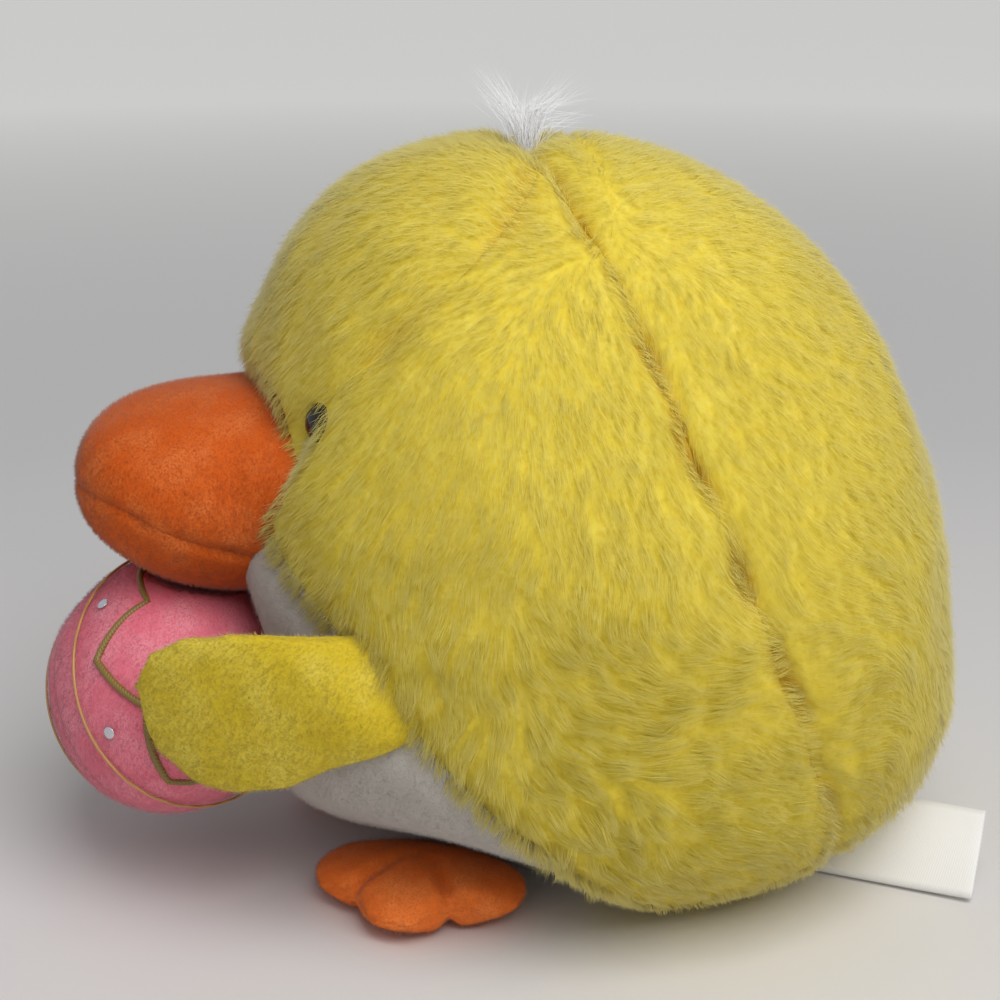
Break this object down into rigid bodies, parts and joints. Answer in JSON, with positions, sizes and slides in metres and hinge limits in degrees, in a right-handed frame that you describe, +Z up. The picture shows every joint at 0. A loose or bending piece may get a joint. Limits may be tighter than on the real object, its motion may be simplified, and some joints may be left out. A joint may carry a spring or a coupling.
{
  "type": "plush chick",
  "caption": "Stuffed plush chick with a broad bill, soft wings that swing open from a hugged egg, splayed feet, domed eyes, a crown tuft and a sewn label.",
  "frame": {"origin": "middle of the flat base panel, on the surface that the chick sits on", "axes": "+Z up, the chick looks along -Y, its left wing is on the +X side"},
  "size_m": [0.21, 0.2778, 0.2363],
  "materials": {
    "yellow_fur": "long soft pile, yellow",
    "white_velboa": "short pile, white",
    "orange_velboa": "short pile, orange",
    "yellow_velboa": "short pile, deep yellow",
    "pink_velboa": "short pile, pink",
    "white_fibre": "long loose fibres, white",
    "white_satin": "smooth woven ribbon, blank",
    "stuffing": "loose polyester fibre",
    "black_plastic": "polished black",
    "washer_plastic": "milky plastic"
  },
  "bodies": {
    "chick": {"forehead_panel": "yellow_fur", "left_side_panel": "yellow_fur", "right_side_panel": "yellow_fur", "left_back_panel": "yellow_fur", "right_back_panel": "yellow_fur", "belly_panel": "white_velboa", "base_panel": "white_velboa", "body_stuffing": "stuffing", "beak_upper_panel": "orange_velboa", "beak_lower_panel": "orange_velboa", "beak_stuffing": "stuffing", "egg_left_panel": "pink_velboa", "egg_right_panel": "pink_velboa", "egg_stuffing": "stuffing", "left_eye": "black_plastic", "left_eye_washer": "washer_plastic", "right_eye": "black_plastic", "right_eye_washer": "washer_plastic", "crown_tuft": "white_fibre"},
    "left_wing": {"left_wing_outer_panel": "yellow_velboa", "left_wing_inner_panel": "yellow_velboa", "left_wing_stuffing": "stuffing"},
    "right_wing": {"right_wing_outer_panel": "yellow_velboa", "right_wing_inner_panel": "yellow_velboa", "right_wing_stuffing": "stuffing"},
    "left_foot": {"left_foot_top_panel": "orange_velboa", "left_foot_sole_panel": "orange_velboa", "left_foot_stuffing": "stuffing"},
    "right_foot": {"right_foot_top_panel": "orange_velboa", "right_foot_sole_panel": "orange_velboa", "right_foot_stuffing": "stuffing"},
    "label": {"sewn_label": "white_satin"}
  },
  "joints": [
    {"name": "left_wing_swing", "type": "hinge", "parent": "chick", "child": "left_wing", "pos_m": [0.08639, -0.0754, 0.087], "axis": [0, -0.2237, 0.9747], "range_deg": [0, 60], "stiffness_Nm_per_rad": 0.003},
    {"name": "right_wing_swing", "type": "hinge", "parent": "chick", "child": "right_wing", "pos_m": [-0.08639, -0.0754, 0.087], "axis": [0, 0.2237, -0.9747], "range_deg": [0, 60], "stiffness_Nm_per_rad": 0.003},
    {"name": "left_foot_fold", "type": "hinge", "parent": "chick", "child": "left_foot", "pos_m": [0.02443, -0.05475, 0.00465], "axis": [0.4695, 0.8829, 0], "range_deg": [0, 50], "stiffness_Nm_per_rad": 0.005},
    {"name": "right_foot_fold", "type": "hinge", "parent": "chick", "child": "right_foot", "pos_m": [-0.02443, -0.05475, 0.00465], "axis": [0.4695, -0.8829, 0], "range_deg": [0, 50], "stiffness_Nm_per_rad": 0.005},
    {"name": "label_flap", "type": "hinge", "parent": "chick", "child": "label", "pos_m": [0.05119, 0.07767, 0.0115], "axis": [-0.5391, 0.3501, 0.766], "range_deg": [-40, 40], "stiffness_Nm_per_rad": 0.001}
  ]
}
